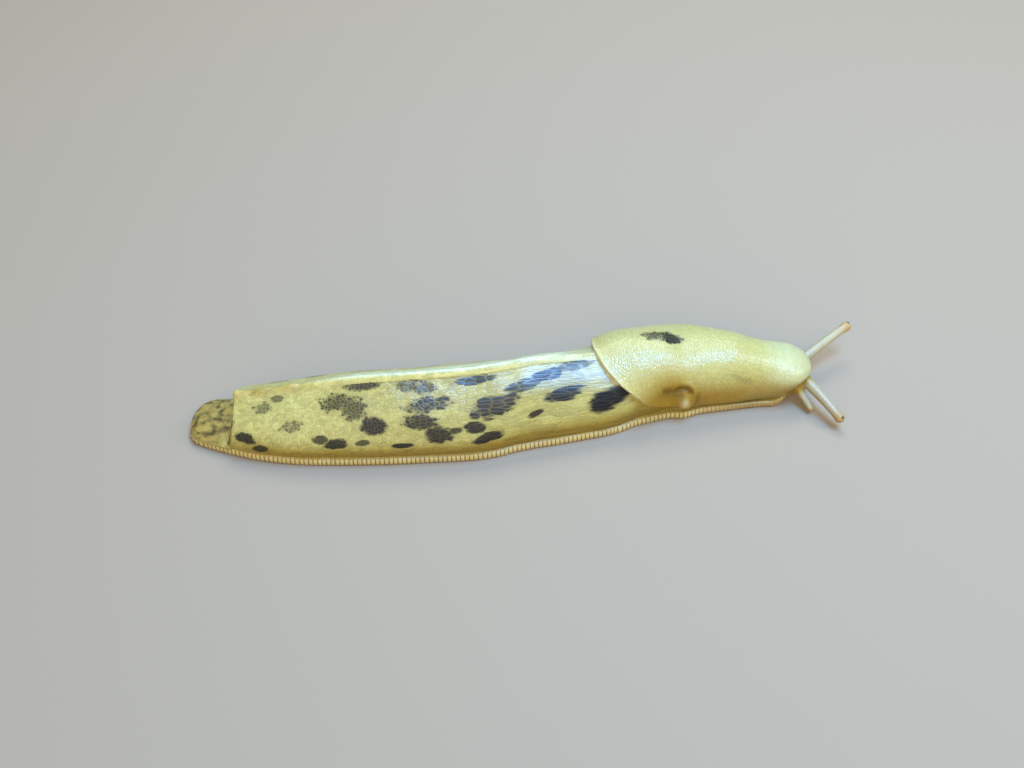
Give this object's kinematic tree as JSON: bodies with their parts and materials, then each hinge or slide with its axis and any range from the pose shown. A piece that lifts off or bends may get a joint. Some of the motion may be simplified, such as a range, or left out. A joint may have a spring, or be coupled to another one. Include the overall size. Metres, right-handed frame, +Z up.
{
  "type": "banana slug",
  "caption": "Long low slug crawling on a flat floor: keeled spotted back, hooded mantle with a breathing pore on its right, ribbed foot fringe, tentacles held out.",
  "frame": {"origin": "under the middle of the whole animal, on the level its foot rests on", "axes": "+X from tail to head along the body, +Y to the animal's left, +Z up; the breathing pore is on the -Y side"},
  "size_m": [0.1224, 0.0228, 0.0136],
  "materials": {
    "back_skin": "wet, finely grooved olive skin with dark spots",
    "mantle_skin": "wet, finely grained straw-yellow skin",
    "foot_skin": "wet, ribbed cream and brown skin",
    "head_skin": "wet, pale, slightly see-through skin",
    "eye": "black, glossy"
  },
  "bodies": {
    "root": {"tail": "back_skin", "back_rear": "back_skin", "back_middle": "back_skin", "back_front": "back_skin", "head": "head_skin", "mantle": "mantle_skin", "foot_rear": "foot_skin", "foot_middle": "foot_skin", "foot_front": "foot_skin", "upper_tentacle_left": "head_skin", "upper_tentacle_right": "head_skin", "lower_tentacle_left": "head_skin", "lower_tentacle_right": "head_skin", "eye_left": "eye", "eye_right": "eye"}
  },
  "joints": []
}
